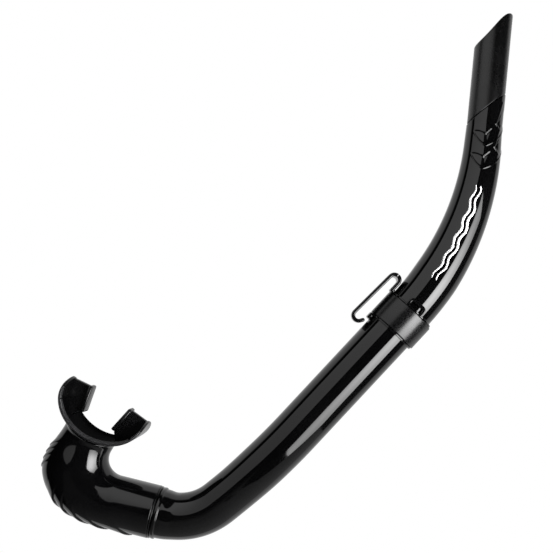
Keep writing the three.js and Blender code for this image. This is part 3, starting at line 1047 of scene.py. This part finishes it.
def arithmetic(tree, operation, first, second):
    node = tree.nodes.new("ShaderNodeMath")
    node.operation = operation
    tree.links.new(first, node.inputs[0])
    if isinstance(second, (int, float)):
        node.inputs[1].default_value = second
    else:
        tree.links.new(second, node.inputs[1])
    return node.outputs["Value"]


def mapped(tree, source, low, high, first, last, interpolation="SMOOTHSTEP"):
    node = tree.nodes.new("ShaderNodeMapRange")
    node.interpolation_type = interpolation
    for socket, value in zip(("From Min", "From Max", "To Min", "To Max"), (low, high, first, last)):
        node.inputs[socket].default_value = value
    tree.links.new(source, node.inputs["Value"])
    return node.outputs["Result"]


def strip_brightness(tree, across, up, strength):
    """Brightest a little past the middle of its length, and dimmer towards both ends."""
    away = arithmetic(tree, "ABSOLUTE", arithmetic(tree, "SUBTRACT", across, 0.11), 0)
    along = mapped(tree, away, 0, 0.3, 15.5, 6.0)
    off = arithmetic(tree, "ABSOLUTE", arithmetic(tree, "SUBTRACT", up, 0.13), 0)
    tree.links.new(arithmetic(tree, "MULTIPLY", along, mapped(tree, off, 0, 0.2, 1, 0.75)), strength)


def broad_brightness(tree, across, up, strength):
    tree.links.new(mapped(tree, across, -0.27, 0.15, 0.6, 1.1), strength)


def bounce_brightness(tree, across, up, strength):
    """Dim on the mouthpiece's side and in front."""
    sideways = mapped(tree, across, -0.3, 0.24, 0.06, 0.42, "LINEAR")
    back = mapped(tree, up, -0.4, 0, 0.6, 1.0, "LINEAR")
    tree.links.new(arithmetic(tree, "MULTIPLY", sideways, back), strength)


panel(
    "strip_light",
    [(-209, -150), (-110, -97), (430, -90), (430, 250), (200, 283), (-209, 283)],
    (0.647, 0.034, 0.762),
    (-0.431, -0.808, 0.402),
    (485, -294, -224),
    strip_brightness,
)
panel(
    "broad_light",
    [(-270, -270), (-180, -322), (100, -322), (180, -395), (300, -410), (300, 250), (-270, 250)],
    (0.698, 0.017, 0.716),
    (-0.447, 0.792, 0.417),
    (-130, -305, 330),
    broad_brightness,
)
panel(
    "bounce_card",
    [
        (-300, 65),
        (-1500, -3500),
        (-600, -3500),
        (-100, -1250),
        (60, -760),
        (188, -460),
        (250, -400),
        (420, -200),
        (420, 65),
    ],
    (1, 0, 0),
    (0, 1, 0),
    (0, 0, -350),
    bounce_brightness,
)

fill = bpy.data.lights.new("back_fill", "AREA")
fill.size = 1.0
fill.energy = 0.6
fill_holder = bpy.data.objects.new("back_fill", fill)
fill_holder.location = (0.1, 1.6, 0.9)
fill_holder.rotation_euler = (math.radians(-60), 0, 0)
fill_holder.visible_camera = False
bpy.context.scene.collection.objects.link(fill_holder)

world = bpy.data.worlds.new("studio")
bpy.context.scene.world = world
world.use_nodes = True
studio = world.node_tree
background = studio.nodes["Background"]
direction = studio.nodes.new("ShaderNodeTexCoord")
parts = studio.nodes.new("ShaderNodeSeparateXYZ")
studio.links.new(direction.outputs["Generated"], parts.inputs["Vector"])
slant = arithmetic(studio, "MULTIPLY", parts.outputs["X"], -0.05)
behind = arithmetic(studio, "ADD", arithmetic(studio, "ADD", parts.outputs["Y"], slant), -0.14)
# Reflections see a white wall behind the object and darkness in front. The backdrop is white.
wall = mapped(studio, behind, -0.07, 0.12, 0.0, 0.78)
seen = studio.nodes.new("ShaderNodeLightPath")
choose = studio.nodes.new("ShaderNodeMix")
choose.data_type = "FLOAT"
choose.inputs["B"].default_value = 1.0
studio.links.new(seen.outputs["Is Camera Ray"], choose.inputs["Factor"])
studio.links.new(wall, choose.inputs["A"])
studio.links.new(choose.outputs["Result"], background.inputs["Strength"])
background.inputs["Color"].default_value = (1, 1, 1, 1)

floor_mesh = bpy.data.meshes.new("floor")
half_floor = 6.0
floor_corners = [(x * half_floor, y * half_floor, 0) for x, y in ((-1, -1), (1, -1), (1, 1), (-1, 1))]
floor_mesh.from_pydata(floor_corners, [], [(0, 1, 2, 3)])
floor = bpy.data.objects.new("floor", floor_mesh)
floor.location = (0, 0, cad_box[0][2] - 0.012)
bpy.context.scene.collection.objects.link(floor)
pale = bpy.data.materials.new("pale_floor")
pale.use_nodes = True
pale_tree = pale.node_tree
pale_tree.nodes.remove(pale_tree.nodes["Principled BSDF"])
glow = pale_tree.nodes.new("ShaderNodeEmission")
pale_tree.links.new(glow.outputs["Emission"], pale_tree.nodes["Material Output"].inputs["Surface"])
glow.inputs["Color"].default_value = (1, 1, 1, 1)
glow.inputs["Strength"].default_value = 1.0
floor_mesh.materials.append(pale)
floor.visible_glossy = False
floor.visible_diffuse = False
floor.visible_transmission = False
floor.visible_shadow = False

lens = bpy.data.cameras.new("camera")
lens.lens = 47.8
lens.sensor_width = 36
camera = bpy.data.objects.new("camera", lens)
camera.location = (0.135, -0.459, 0.043)
lens.shift_x = -0.0926
lens.shift_y = 0.0969
camera.rotation_euler = (math.pi / 2, 0, 0)
bpy.context.scene.collection.objects.link(camera)
bpy.context.scene.camera = camera
bpy.context.scene.view_settings.view_transform = "Standard"
